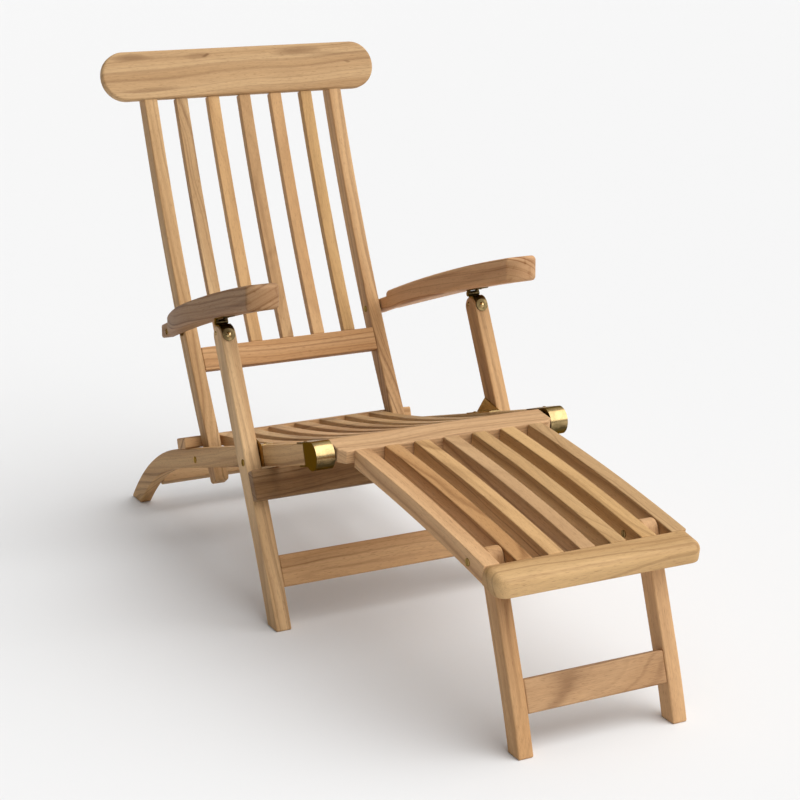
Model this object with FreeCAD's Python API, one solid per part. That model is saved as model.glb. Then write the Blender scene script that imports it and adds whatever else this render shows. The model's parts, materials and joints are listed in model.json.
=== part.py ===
import FreeCAD, Part
import math
import os

# Steamer deck chair in solid teak with brass fittings.
# Millimetres. +Z is up, the foot end points to -Y, the head end to +Y, and the chair is
# the same left and right of X = 0. The finished chair is moved along Y at the end,
# so that the origin lies on the floor under the middle of its outline.

# Widths, from the outside inwards
width_over_legs = 560.0
leg_width = 30.0
plate_gap = 2.5           # between a side rail and a front leg, for the brass plate
rail_width = 25.0
washer_gap = 2.5          # between a side rail and a back post
post_width = 28.0
headboard_length = 604.0

# Clearances
pin_clearance = 0.06      # all round a bolt or pin, in its hole
joint_gap = 0.05          # between glued or screwed faces
stop_gap = 0.4            # between faces that meet when the chair stands open

# Pivots in the side view: the back and the front legs on the side rails, and the hinge
# on top of the front legs. The arm's rear bolt completes a parallelogram.
back_pivot = (374.0, 191.0)
leg_pivot = (40.0, 281.0)
arm_hinge = (166.0, 516.0)
arm_pivot = (arm_hinge[0] + back_pivot[0] - leg_pivot[0], arm_hinge[1] + back_pivot[1] - leg_pivot[1])

# Side rails, which curve down into the rear feet
rail_front = (-178.0, 351.2)   # middle of the rail's front end
rail_height = 39.0
rail_slope = 15.9              # degrees, falling towards the head end
rail_straight = 685.0
rail_bend_radius = 580.5       # along the middle of the rail
rail_bend_turn = 34.0          # degrees, ending below the floor line

# Back
post_depth = 35.0
post_lean = 30.7               # degrees from upright, at the pivot
post_radius = 3640.0           # the posts bend gently forwards
post_tail = 52.0               # below the pivot
post_tail_round = 9.0
headboard_height = 100.0
headboard_start = 744.0        # from the pivot, along the post
headboard_thickness = 20.0
headboard_proud = 3.0
post_stop = 10.0               # the posts end this far below the headboard's top
cross_rail_start = 175.0
cross_rail_height = 48.0
cross_rail_thickness = 20.0
back_slat_count = 5
back_side_gap = 40.25          # between the outermost back slats and the posts
back_slat_width = 25.5
back_slat_thickness = 17.0
back_slat_recess = 2.0

# Seat
slat_count = 7
slat_side_gap = 6.75           # between the outermost seat slats and the posts
slat_width = 28.5
seat_slat_depth = 22.0
seat_dip = 12.0
seat_rear_y = 409.0
seat_rear_rail_depth = 47.0
seat_rear_rail_thickness = 22.5
seat_rear_overhang = 6.5
seat_front_start = 7.0         # from the rail's front end
seat_front_rail_depth = 38.0
seat_front_rail_thickness = 25.0
rear_stretcher_start = 880.0   # along the rail, in its bend
rear_stretcher_thickness = 22.0
rear_stretcher_height = 45.0
rear_stretcher_shoulder = 10.0

# Front legs
leg_depth = 40.0
leg_lean = 25.5                # degrees from upright
foot_turn = 3.9                # the lower end bends this much steeper
leg_bend_start = 370.0         # from the hinge, down the leg
leg_bend_length = 215.0
past_floor = 60.0              # the feet are drawn this far past their bends, then cut at the floor
hinge_setback = 4.6            # the hinge pin behind the middle of the leg
leg_top_drop = 28.0            # from the hinge down to the centre of the rounded top
apron_start = 286.0
apron_height = 56.0
apron_thickness = 21.0
leg_stretcher_start = 443.0
leg_stretcher_height = 58.0
leg_stretcher_thickness = 20.0
stretcher_recess = 1.5

# Arms
arm_under_rear = (532.0, 405.0)
arm_under_front = (-40.0, 578.7)
arm_under_rise = 8.5
arm_top_rear = (541.0, 440.0)
arm_top_front = (-42.0, 627.3)
arm_top_rise = 10.2
arm_splay = 7.5                # the inner edge opens this much towards the front
arm_overhang = 13.0            # beyond the front leg
arm_side_end = 255.0           # y where the outer edge starts to close in
arm_step_y = 465.0             # behind it the arm is only as thick as its tip
arm_step_width = 40.0          # from the inner edge to the outer edge in front of the step
arm_tip_width = 30.0
arm_tip_thickness = 27.0
arm_tip_round = 5.0
arm_tip_reach = 31.0           # behind the rear bolt
arm_front_bow = 13.0           # the front end bulges this much, seen from above
arm_front_round = 12.0
arm_edge_round = 8.0
arm_bolt_recess = 1.0          # of the rear bolt's head

# Leg rest
rest_pivot_reach = 26.0        # ahead of the side rails' ends
rest_pivot_drop = 1.5
rest_rail_depth = 57.0
rest_rail_thickness = 25.0
rest_tilt = 8.1                # degrees, falling towards the foot end
rest_rail_gap = 3.0            # from its ends to the cups
rest_rail_chamfer = 12.0
rest_slat_depth = 32.5
rest_slat_rise = 5.8
nosing_back = (-685.0, 302.7)
nosing_depth = 53.0
nosing_thickness = 32.0
nosing_round = 14.0            # along its top edge
nosing_corner = 20.0           # of its front corners, seen from above
nosing_overhang = 1.5
rest_leg_width = 27.0
rest_leg_depth = 34.5
rest_leg_back = 48.0           # pivot behind the nosing
rest_leg_drop = 19.5           # pivot below the top of the slats
rest_leg_lean = 19.0
rest_leg_straight = 190.0
rest_leg_bend_length = 140.0
rest_leg_foot_turn = 5.6
rest_leg_top_reach = 1.5
rest_stretcher_start = 192.0
rest_stretcher_height = 53.0
rest_stretcher_thickness = 20.0

# Joints in the wood
tenon_length = 12.0
tenon_thickness = 8.0
tenon_shoulder = 5.0

# Brass
sheet = 2.0
bolt_radius = 4.0
bolt_head_radius = 6.5
bolt_head_height = 3.0
bolt_head_proud = 1.0
slot_width = 1.8
slot_depth = 1.2
washer_radius = 12.0
cup_overlap = 7.5              # of the cup past the rail's inner face
cup_radius = 25.5
cup_reach = 40.5               # ahead of the rail's end
cup_tail = 44.0
cup_plate_back = 14.0
cup_screw_s = 22.0
cup_screw_edge = 7.5           # clear of the front rail's tenon
plate_front_y = 26.0
plate_rear_y = 118.0
plate_apex = (86.0, 325.0)
plate_flange = 16.0
screw_radius = 1.75
screw_head_radius = 3.75
screw_head_height = 1.5
screw_length = 14.0
strap_screw_head_radius = 5.5
strap_screw_head_height = 2.5
hinge_width = 24.0
knuckle_radius = 5.4
knuckle_gap = 0.4
middle_knuckle = 12.0
hinge_pin_radius = 2.0
strap_length = 14.0
leaf_length = 44.0

# Rounding of the wood
soft_edge = 3.0
fine_edge = 2.0
board_edge = 5.0

leg_outer = width_over_legs / 2
leg_inner = leg_outer - leg_width
rail_outer = leg_inner - plate_gap
rail_inner = rail_outer - rail_width
post_outer = rail_inner - washer_gap
post_inner = post_outer - post_width
rail_half = rail_height / 2
post_half = post_depth / 2
leg_half = leg_depth / 2
hinge_middle_x = (leg_inner + leg_outer) / 2
arm_outer_x = leg_outer + arm_overhang
arm_tip_x = rail_inner + arm_tip_width
arm_bolt_seat_x = arm_tip_x - arm_bolt_recess
cup_inner_x = rail_inner - cup_overlap
rest_rail_end_x = cup_inner_x - rest_rail_gap
rest_leg_half = rest_leg_depth / 2
slat_pitch = (2 * (post_inner - slat_side_gap) - slat_width) / (slat_count - 1)
back_slat_pitch = (2 * (post_inner - back_side_gap) - back_slat_width) / (back_slat_count - 1)
rest_leg_outer = slat_pitch * (slat_count - 1) / 2 - (slat_pitch - rest_leg_width) / 2
rest_leg_inner = rest_leg_outer - rest_leg_width


def vec(x, y, z):
    return FreeCAD.Vector(x, y, z)


def shifted(point, angle, distance):
    """The point moved by a distance in the side view, the angle in degrees from +Y to +Z."""
    a = math.radians(angle)
    return point[0] + math.cos(a) * distance, point[1] + math.sin(a) * distance


class Course:
    """A line in the side view, made of straight and curved runs, each tangent to the last.

    A run is (length, turn) with the turn in degrees, positive from +Y towards +Z.
    An offset is positive on the left of the direction of travel.
    """

    def __init__(self, start, angle, runs):
        self.runs = []
        point = start
        for length, turn in runs:
            self.runs.append((point, angle, length, turn))
            point, angle = self.step(point, angle, length, turn, length)

    def step(self, point, angle, length, turn, s):
        if turn == 0:
            return shifted(point, angle, s), angle
        radius = length / math.radians(turn)
        centre = shifted(point, angle + 90, radius)
        here = angle + turn * s / length
        return shifted(centre, here - 90, radius), here

    def frame(self, s):
        done = 0.0
        for run in self.runs:
            point, angle, length, turn = run
            if s <= done + length or run is self.runs[-1]:
                return self.step(point, angle, length, turn, s - done)
            done += length

    def point(self, s, offset=0.0):
        here, angle = self.frame(s)
        return shifted(here, angle + 90, offset)

    def angle(self, s):
        return self.frame(s)[1]

    def edges(self, s0, s1, offset, x):
        """Edges from s0 to s1 at an offset, split where the runs meet."""
        stops = [s0]
        done = 0.0
        for _, _, length, _ in self.runs[:-1]:
            done += length
            if s0 < done < s1:
                stops.append(done)
        stops.append(s1)
        out = []
        for a, b in zip(stops, stops[1:]):
            middle = (a + b) / 2
            p, m, q = (vec(x, *self.point(s, offset)) for s in (a, middle, b))
            straight = abs(self.angle(a + 0.01) - self.angle(b - 0.01)) < 1e-9
            out.append(Part.makeLine(p, q) if straight else Part.Arc(p, m, q).toShape())
        return out


def arc_course(start, end, rise):
    """One arc from start to end, bulging to the left of its travel by the rise."""
    dy, dz = end[0] - start[0], end[1] - start[1]
    chord = math.hypot(dy, dz)
    half = 2 * math.atan2(2 * rise, chord)
    length = chord * half / math.sin(half)
    turn = -2 * math.degrees(half)
    return Course(start, math.degrees(math.atan2(dz, dy)) - turn / 2, [(length, turn)])


def slab(edges, x0, x1):
    """Solid between x0 and x1, with the side view that the edges, drawn at x0, enclose."""
    wire = Part.Wire(Part.__sortEdges__(edges))
    return Part.Face(wire).extrude(vec(x1 - x0, 0, 0))


def outline(points, x0, x1):
    """Solid with a straight-sided side view."""
    corners = [vec(x0, *p) for p in points]
    face = Part.Face(Part.makePolygon(corners + corners[:1]))
    return face.extrude(vec(x1 - x0, 0, 0))


def bar(course, s0, s1, low, high, x0, x1):
    """Solid along a course from s0 to s1, between two offsets."""
    edges = course.edges(s0, s1, low, x0) + course.edges(s0, s1, high, x0)
    for s in (s0, s1):
        edges.append(Part.makeLine(vec(x0, *course.point(s, low)), vec(x0, *course.point(s, high))))
    return slab(edges, x0, x1)


def rod(centre, x0, x1, radius):
    """Round bar along X."""
    return Part.makeCylinder(radius, x1 - x0, vec(x0, *centre), vec(1, 0, 0))


def above_floor(solid):
    """The solid without what reaches below the floor."""
    size = 4 * width_over_legs
    block = Part.makeBox(size, size, size, vec(-size / 2, -size / 2, -size))
    return solid.cut(block)


def sharp_edges(solid):
    """Edges whose two faces meet at a clear angle."""
    found = []
    for edge in solid.Edges:
        faces = solid.ancestorsOfType(edge, Part.Face)
        if len(faces) != 2:
            continue
        middle = edge.valueAt((edge.FirstParameter + edge.LastParameter) / 2)
        normals = [f.normalAt(*f.Surface.parameter(middle)) for f in faces]
        if normals[0].getAngle(normals[1]) > math.radians(20):
            found.append(edge)
    return found


def rounded(solid, radius):
    """The solid with all its sharp edges rounded."""
    return solid.makeFillet(radius, sharp_edges(solid))


def corner_rounded(solid, point, radius):
    """The solid with its edge along X through the point rounded."""
    picked = []
    for edge in sharp_edges(solid):
        ends = [v.Point for v in edge.Vertexes]
        if all(math.hypot(p.y - point[0], p.z - point[1]) < 0.01 for p in ends):
            picked.append(edge)
    return solid.makeFillet(radius, picked)


def mirrored(solid):
    return solid.mirror(vec(0, 0, 0), vec(1, 0, 0))


def both(solids):
    """Left and right copies as one group of separate solids."""
    group = []
    for solid in solids:
        group += [solid, mirrored(solid)]
    return Part.makeCompound(group)


def spread(count, pitch):
    return [pitch * (i - (count - 1) / 2) for i in range(count)]


def cross_piece(size, edge):
    """Board across the chair, with a tenon on each end past x = reach."""
    course, s0, s1, low, high, reach, _ = size
    body = rounded(bar(course, s0, s1, low, high, joint_gap - reach, reach - joint_gap), edge)
    return body.fuse(tenon(size, 0.0)).removeSplitter()


def tenon(size, gap):
    """The tenons of a cross piece as one long tongue, or their mortises, larger by a gap."""
    course, s0, s1, low, high, reach, shoulder = size
    middle = (low + high) / 2
    half = tenon_thickness / 2 + gap
    inset = shoulder - gap
    end = reach + tenon_length + gap
    return bar(course, s0 + inset, s1 - inset, middle - half, middle + half, -end, end)


def slat(course, s0, s1, low, high, x, width, tongue_middle, edge):
    """Slat along a course, with a tongue on each end."""
    body = rounded(bar(course, s0 + joint_gap, s1 - joint_gap, low, high, x - width / 2, x + width / 2), edge)
    return body.fuse(slat_tongue(course, s0, s1, x, width, tongue_middle, 0.0)).removeSplitter()


def slat_tongue(course, s0, s1, x, width, middle, gap):
    half = tenon_thickness / 2 + gap
    side = width / 2 - fine_edge - 1 + gap
    reach = tenon_length + gap
    return bar(course, s0 - reach, s1 + reach, middle - half, middle + half, x - side, x + side)


def bolt(centre, x0, x1):
    """Slotted bolt along X with a flat head at each end, the heads' faces at x0 and x1."""
    shape = rod(centre, x0, x1, bolt_radius)
    for face, side in ((x0, 1), (x1, -1)):
        inner = face + side * bolt_head_height
        shape = shape.fuse(rod(centre, min(face, inner), max(face, inner), bolt_head_radius))
        floor = face + side * slot_depth
        slot = Part.makeBox(slot_depth, slot_width, 4 * bolt_head_radius)
        slot.translate(vec(min(face, floor), centre[0] - slot_width / 2, centre[1] - 2 * bolt_head_radius))
        shape = shape.cut(slot)
    return shape.removeSplitter()


def bolt_hole(centre, x0, x1):
    return rod(centre, x0 - 1, x1 + 1, bolt_radius + pin_clearance)


def head_seat(centre, face, side):
    """Recess for a bolt head whose outer face is at x = face, open towards the side."""
    floor = face - side * (bolt_head_height + joint_gap)
    end = face + side * 4 * bolt_head_radius
    return rod(centre, min(floor, end), max(floor, end), bolt_head_radius + pin_clearance)


def screw(point, normal, radius=screw_head_radius, height=screw_head_height):
    """Round-headed screw whose head sits on the surface at the point."""
    n = vec(*normal).normalize()
    at = vec(*point)
    shank = Part.makeCylinder(screw_radius, screw_length, at, n * -1)
    ball = (radius ** 2 + height ** 2) / (2 * height)
    dome = Part.makeSphere(ball, at + n * (height - ball))
    keep = Part.makeCylinder(radius + 1, height + 1, at + n * joint_gap, n)
    return shank.fuse(dome.common(keep)).fuse(Part.makeCylinder(screw_radius, 2 * joint_gap, at, n)).removeSplitter()


def screw_hole(point, normal):
    n = vec(*normal).normalize()
    return Part.makeCylinder(screw_radius + pin_clearance, screw_length + 3, vec(*point) + n * 2, n * -1)


# Courses that the pieces follow
rail_course = Course(rail_front, -rail_slope,
                     [(rail_straight, 0), (rail_bend_radius * math.radians(rail_bend_turn), -rail_bend_turn),
                      (past_floor, 0)])
rail_run = rail_straight + rail_bend_radius * math.radians(rail_bend_turn) + past_floor
headboard_end = headboard_start + headboard_height
post_course = Course(back_pivot, 90 - post_lean, [(headboard_end, math.degrees(headboard_end / post_radius))])
leg_angle = 270 - leg_lean
leg_course = Course(shifted(arm_hinge, leg_angle + 90, -hinge_setback), leg_angle,
                    [(leg_bend_start, 0), (leg_bend_length, foot_turn), (past_floor, 0)])
leg_run = leg_bend_start + leg_bend_length + past_floor
arm_under = arc_course(arm_under_rear, arm_under_front, -arm_under_rise)
arm_top = arc_course(arm_top_rear, arm_top_front, -arm_top_rise)
rest_pivot = rail_course.point(-rest_pivot_reach, -rest_pivot_drop)
rest_rail_course = Course(rest_pivot, 180 + rest_tilt, [(rest_rail_depth, 0)])
rest_rail_front = rest_rail_course.point(rest_rail_depth / 2, -rest_rail_thickness / 2)
rest_course = arc_course(rest_rail_front, nosing_back, -rest_slat_rise)
rest_run = rest_course.runs[0][2]
nosing_course = Course(nosing_back, rest_course.angle(rest_run), [(nosing_depth, 0)])
rest_leg_pivot = rest_course.point(rest_run - rest_leg_back, rest_leg_drop)
rest_leg_course = Course(rest_leg_pivot, 270 - rest_leg_lean,
                         [(rest_leg_straight, 0), (rest_leg_bend_length, rest_leg_foot_turn),
                          (past_floor, 0)])
rest_leg_run = rest_leg_straight + rest_leg_bend_length + past_floor
rail_cosine = math.cos(math.radians(rail_slope))


def rail_at(y):
    """Distance along the side rail to the place where its top is over y."""
    return (y - rail_course.point(0, rail_half)[0]) / rail_cosine


seat_rear_start = rail_at(seat_rear_y)
seat_back = rail_course.point(seat_rear_start, rail_half + seat_rear_rail_thickness)
seat_front_end = seat_front_start + seat_front_rail_depth
seat_front = rail_course.point(seat_front_end, rail_half)
seat_course = arc_course(seat_back, seat_front, seat_dip)
seat_run = seat_course.runs[0][2]
leg_top = leg_course.point(leg_top_drop)

# Cross pieces as (course, start, end, low offset, high offset, reach, shoulder)
cross_rail_front = post_half
cross_rail_size = (post_course, cross_rail_start, cross_rail_start + cross_rail_height,
                   cross_rail_front - cross_rail_thickness, cross_rail_front, post_inner, tenon_shoulder)
seat_front_size = (rail_course, seat_front_start, seat_front_end,
                   rail_half - seat_front_rail_thickness, rail_half, rail_inner, tenon_shoulder)
rear_stretcher_size = (Course(rail_course.point(rear_stretcher_start),
                              rail_course.angle(rear_stretcher_start) - 90, [(rear_stretcher_height, 0)]),
                       -rear_stretcher_height / 2, rear_stretcher_height / 2,
                       -rear_stretcher_thickness / 2, rear_stretcher_thickness / 2, rail_inner,
                       rear_stretcher_shoulder)
leg_stretcher_size = (leg_course, leg_stretcher_start, leg_stretcher_start + leg_stretcher_height,
                      stretcher_recess - leg_half, stretcher_recess - leg_half + leg_stretcher_thickness,
                      leg_inner, tenon_shoulder)
rest_stretcher_size = (rest_leg_course, rest_stretcher_start, rest_stretcher_start + rest_stretcher_height,
                       stretcher_recess - rest_leg_half,
                       stretcher_recess - rest_leg_half + rest_stretcher_thickness, rest_leg_inner,
                       tenon_shoulder)


def cup_screw_place():
    x = rail_outer - cup_screw_edge
    at = rail_course.point(cup_screw_s, rail_half + joint_gap + sheet)
    up = rail_course.angle(0) + 90
    return (x, *at), (0, math.cos(math.radians(up)), math.sin(math.radians(up)))


def plate_screw_places():
    x = (rail_inner + rail_outer) / 2
    up = math.radians(rail_course.angle(0) + 90)
    places = []
    for y in (plate_front_y + plate_flange, plate_rear_y - plate_flange):
        at = rail_course.point(rail_at(y), rail_half + joint_gap + sheet)
        places.append(((x, *at), (0, math.cos(up), math.sin(up))))
    return places


def side_rail():
    shape = bar(rail_course, 0, rail_run, -rail_half, rail_half, rail_inner, rail_outer)
    shape = rounded(above_floor(shape), soft_edge)
    shape = shape.cut(bolt_hole(back_pivot, rail_inner, rail_outer))
    shape = shape.cut(head_seat(back_pivot, rail_outer + bolt_head_proud, 1))
    shape = shape.cut(bolt_hole(leg_pivot, rail_inner, rail_outer))
    shape = shape.cut(head_seat(leg_pivot, rail_inner - bolt_head_proud, -1))
    shape = shape.cut(tenon(seat_front_size, joint_gap))
    shape = shape.cut(tenon(rear_stretcher_size, joint_gap))
    for place in [cup_screw_place()] + plate_screw_places():
        shape = shape.cut(screw_hole(*place))
    return shape


def back_post():
    end = headboard_end - post_stop
    shape = bar(post_course, -post_tail, end, -post_half, post_half, post_inner, post_outer)
    for offset in (-post_half, post_half):
        shape = corner_rounded(shape, post_course.point(-post_tail, offset), post_tail_round)
    shape = rounded(shape, soft_edge)
    lap = bar(post_course, headboard_start - joint_gap, headboard_end, headboard_back - joint_gap,
              post_depth, 0, width_over_legs)
    shape = shape.cut(lap)
    shape = shape.cut(bolt_hole(back_pivot, post_inner, post_outer))
    shape = shape.cut(head_seat(back_pivot, post_inner - bolt_head_proud, -1))
    shape = shape.cut(bolt_hole(arm_pivot, post_inner, post_outer))
    shape = shape.cut(head_seat(arm_pivot, post_inner - bolt_head_proud, -1))
    return shape.cut(tenon(cross_rail_size, joint_gap))


headboard_front = post_half + headboard_proud
headboard_back = headboard_front - headboard_thickness
back_slat_front = post_half - back_slat_recess
back_tongue_middle = (headboard_front + headboard_back) / 2


def back_tongue(x, gap):
    start = cross_rail_start + cross_rail_height
    return slat_tongue(post_course, start, headboard_start, x, back_slat_width, back_tongue_middle, gap)


def headboard():
    half = headboard_length / 2
    shape = bar(post_course, headboard_start, headboard_end, headboard_back, headboard_front, -half, half)
    ends = []
    for edge in sharp_edges(shape):
        xs = [v.X for v in edge.Vertexes]
        if abs(abs(xs[0]) - half) < 0.01 and abs(xs[0] - xs[1]) < 0.01 and edge.Length < headboard_thickness + 1:
            ends.append(edge)
    shape = shape.makeFillet(headboard_height / 2 - 1, ends)
    shape = rounded(shape, board_edge)
    for x in spread(back_slat_count, back_slat_pitch):
        shape = shape.cut(back_tongue(x, joint_gap))
    return shape


def back_cross_rail():
    shape = cross_piece(cross_rail_size, fine_edge)
    for x in spread(back_slat_count, back_slat_pitch):
        shape = shape.cut(back_tongue(x, joint_gap))
    return shape


def back_slat(x):
    start = cross_rail_start + cross_rail_height
    return slat(post_course, start, headboard_start, back_slat_front - back_slat_thickness, back_slat_front,
                x, back_slat_width, back_tongue_middle, fine_edge)


def seat_tongue(x, gap):
    return slat_tongue(seat_course, 0, seat_run, x, slat_width, seat_slat_depth / 2, gap)


def seat_slat(x):
    body = bar(seat_course, -seat_slat_depth, seat_run + seat_slat_depth, 0, seat_slat_depth,
               x - slat_width / 2, x + slat_width / 2)
    for s0, s1 in ((seat_rear_start - joint_gap, rail_run), (-rail_run, seat_front_end + joint_gap)):
        body = body.cut(bar(rail_course, s0, s1, -rail_run, rail_run, -width_over_legs, width_over_legs))
    return rounded(body, fine_edge).fuse(seat_tongue(x, 0.0)).removeSplitter()


def seat_rear_rail():
    half = rail_outer + seat_rear_overhang
    shape = bar(rail_course, seat_rear_start, seat_rear_start + seat_rear_rail_depth,
                rail_half + joint_gap, rail_half + seat_rear_rail_thickness, -half, half)
    shape = rounded(shape, soft_edge)
    for x in spread(slat_count, slat_pitch):
        shape = shape.cut(seat_tongue(x, joint_gap))
    return shape


def seat_front_rail():
    shape = cross_piece(seat_front_size, fine_edge)
    for x in spread(slat_count, slat_pitch):
        shape = shape.cut(seat_tongue(x, joint_gap))
    return shape


def cup_side(shrink, x0, x1):
    """The cup's side view as a solid: a round nose ahead of the rail's end and a tail along it."""
    top = rail_half + joint_gap + sheet - shrink
    nose = rail_course.point(cup_radius - cup_reach, rail_half + joint_gap + sheet - cup_radius)
    tail = bar(rail_course, cup_radius - cup_reach, cup_tail + shrink, -top, top, x0, x1)
    return tail.fuse(rod(nose, x0, x1, cup_radius - shrink))


def leg_rest_cup():
    """Brass end piece that wraps the rail's front end and carries the leg rest's pin."""
    x0, x1 = cup_inner_x, rail_outer + joint_gap + sheet
    shape = cup_side(0, x0, x1)
    shape = shape.cut(bar(rail_course, cup_plate_back, rail_run, -rail_run, rail_run, rail_outer + joint_gap / 2, x1))
    shape = shape.cut(cup_side(sheet, x0 - 1, x1 - sheet))
    cheek = cup_side(sheet / 2, x0, x0 + sheet)
    cheek = cheek.cut(bar(rail_course, 0, rail_run, -rail_run, rail_run, 0, x1))
    shape = shape.fuse(cheek).removeSplitter()
    shape = shape.cut(rod(rest_pivot, x0 - 1, x1 - sheet, bolt_radius + pin_clearance))
    return shape.cut(screw_hole(*cup_screw_place()))


def leg_rest_pin():
    """Pin from the cup's outer plate through its cheek into the leg rest's rail."""
    return rod(rest_pivot, rest_rail_end_x - 2 * tenon_length, rail_outer, bolt_radius)


def pivot_plate():
    """Angle plate on the rail where the front leg turns, with a pointed ear above the rail."""
    s0, s1 = rail_at(plate_front_y), rail_at(plate_rear_y)
    x0, x1 = rail_outer + joint_gap, rail_outer + joint_gap + sheet
    top = rail_half + joint_gap + sheet
    shape = bar(rail_course, s0, s1, -rail_half, top, x0, x1)
    ear = outline([rail_course.point(s0, top - sheet), rail_course.point(s1, top - sheet), plate_apex], x0, x1)
    flange = bar(rail_course, s0, s1, rail_half + joint_gap, top, rail_inner + soft_edge, x1)
    shape = shape.fuse(ear).fuse(flange).removeSplitter()
    shape = shape.cut(bolt_hole(leg_pivot, x0, x1))
    for place in plate_screw_places():
        shape = shape.cut(screw_hole(*place))
    return shape


def washer():
    ring = rod(back_pivot, post_outer + stop_gap, rail_inner - joint_gap, washer_radius)
    return ring.cut(bolt_hole(back_pivot, post_outer, rail_inner))


def arm_washer():
    ring = rod(arm_pivot, post_outer + joint_gap, rail_inner - stop_gap, washer_radius)
    return ring.cut(bolt_hole(arm_pivot, post_outer, rail_inner))


def front_leg():
    shape = bar(leg_course, leg_top_drop, leg_run, -leg_half, leg_half, leg_inner, leg_outer)
    shape = shape.fuse(rod(leg_top, leg_inner, leg_outer, leg_half)).removeSplitter()
    shape = rounded(above_floor(shape), soft_edge)
    shape = shape.cut(bolt_hole(leg_pivot, leg_inner, leg_outer))
    shape = shape.cut(head_seat(leg_pivot, leg_outer + bolt_head_proud, 1))
    for place in strap_screw_places():
        shape = shape.cut(screw_hole(*place))
    return shape.cut(tenon(leg_stretcher_size, joint_gap))


def strap_screw_places():
    s = leg_top_drop + strap_length - hinge_width / 2
    out = math.radians(leg_angle - 90)
    at = leg_course.point(s, -leg_half - joint_gap - sheet)
    return [((hinge_middle_x, *at), (0, math.cos(out), math.sin(out)))]


def front_apron():
    front = -leg_half - joint_gap
    shape = bar(leg_course, apron_start, apron_start + apron_height, front - apron_thickness, front,
                -leg_outer, leg_outer)
    return rounded(shape, soft_edge)


def hinge_strap():
    """Brass strap on the leg's front face, bent over its rounded top to the middle knuckle."""
    x0, x1 = hinge_middle_x - hinge_width / 2, hinge_middle_x + hinge_width / 2
    k0, k1 = hinge_middle_x - middle_knuckle / 2, hinge_middle_x + middle_knuckle / 2
    low, high = leg_half + joint_gap, leg_half + joint_gap + sheet
    flat = bar(leg_course, leg_top_drop, leg_top_drop + strap_length - hinge_width / 2, -high, -low, x0, x1)
    (_, *at), out = strap_screw_places()[0]
    end = Part.makeCylinder(hinge_width / 2, sheet, vec(hinge_middle_x, *at), vec(*out) * -1)
    ring = rod(leg_top, x0, x1, high).cut(rod(leg_top, x0 - 1, x1 + 1, low))
    to_hinge = math.degrees(math.atan2(arm_hinge[1] - leg_top[1], arm_hinge[0] - leg_top[0]))
    front = leg_angle - 90
    wedge = outline([leg_top, shifted(leg_top, to_hinge, 2 * leg_depth),
                     shifted(leg_top, (to_hinge + front) / 2, 3 * leg_depth),
                     shifted(leg_top, front, 2 * leg_depth)], x0 - 1, x1 + 1)
    web = outline([shifted(shifted(leg_top, to_hinge, low), to_hinge + 90, side) for side in (-0.01, sheet)]
                  + [shifted(arm_hinge, to_hinge + 90, side) for side in (sheet, -0.01)], k0, k1)
    shape = flat.fuse(end).fuse(ring.common(wedge)).fuse(web).fuse(rod(arm_hinge, k0, k1, knuckle_radius))
    shape = shape.removeSplitter().cut(rod(arm_hinge, x0 - 1, x1 + 1, hinge_pin_radius + pin_clearance))
    for place in strap_screw_places():
        shape = shape.cut(screw_hole(*place))
    return shape


def leaf_start():
    """Distance along the arm's underside to the hinge."""
    start = arm_under.point(0)
    angle = math.radians(arm_under.angle(0))
    dy, dz = arm_hinge[0] - start[0], arm_hinge[1] - start[1]
    return dy * math.cos(angle) + dz * math.sin(angle)


def leaf_screw_places():
    places = []
    for share in (0.45, 0.8):
        s = leaf_start() + share * leaf_length
        down = math.radians(arm_under.angle(s) + 90)
        at = arm_under.point(s, joint_gap + sheet)
        places.append(((hinge_middle_x, *at), (0, math.cos(down), math.sin(down))))
    return places


def hinge_leaf():
    """Brass leaf under the arm, with the two outer knuckles."""
    x0, x1 = hinge_middle_x - hinge_width / 2, hinge_middle_x + hinge_width / 2
    k0, k1 = hinge_middle_x - middle_knuckle / 2, hinge_middle_x + middle_knuckle / 2
    s = leaf_start()
    shape = bar(arm_under, s, s + leaf_length, joint_gap, joint_gap + sheet, x0, x1)
    for a, b in ((x0, k0 - knuckle_gap), (k1 + knuckle_gap, x1)):
        block = outline([arm_under.point(s - sheet, joint_gap), arm_under.point(s + knuckle_radius, joint_gap),
                         shifted(arm_hinge, arm_under.angle(s), knuckle_radius * 0.9), arm_hinge], a, b)
        shape = shape.fuse(block).fuse(rod(arm_hinge, a, b, knuckle_radius))
    shape = shape.removeSplitter().cut(rod(arm_hinge, x0 - 1, x1 + 1, hinge_pin_radius))
    for place in leaf_screw_places():
        shape = shape.cut(screw_hole(*place))
    return shape


def hinge_pin():
    half = hinge_width / 2
    return rod(arm_hinge, hinge_middle_x - half - 1, hinge_middle_x + half + 1, hinge_pin_radius - joint_gap)


def arm_plan():
    """Plan of the arm as a wire: bowed front, straight inner edge, outer edge closing in to the tip."""
    x0, x1 = rail_inner, arm_outer_x
    y0, y1 = arm_under_front[0] + 1 + arm_front_bow, arm_pivot[0] + arm_tip_reach
    inner, outer = vec(x0 + arm_splay, y0, 0), vec(x1, y0, 0)
    bow = Part.Arc(inner, vec((inner.x + x1) / 2, y0 - arm_front_bow, 0), outer).toShape()
    narrowing = x1 - x0 - arm_step_width
    reach = arm_step_y - arm_side_end
    radius = (narrowing ** 2 + reach ** 2) / (2 * narrowing)
    centre = vec(x1 - radius, arm_side_end, 0)
    along = [vec(centre.x + math.sqrt(radius ** 2 - dy ** 2), arm_side_end + dy, 0)
             for dy in (0, reach / 2, reach)]
    taper = Part.Arc(*along).toShape()
    tip = [vec(arm_tip_x, arm_step_y, 0), vec(arm_tip_x, y1, 0), vec(x0, y1, 0)]
    sides = [Part.makePolygon([outer, along[0]]), Part.makePolygon([along[2]] + tip + [inner])]
    return Part.Wire(Part.__sortEdges__(sum([piece.Edges for piece in [bow, taper] + sides], [])))


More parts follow.
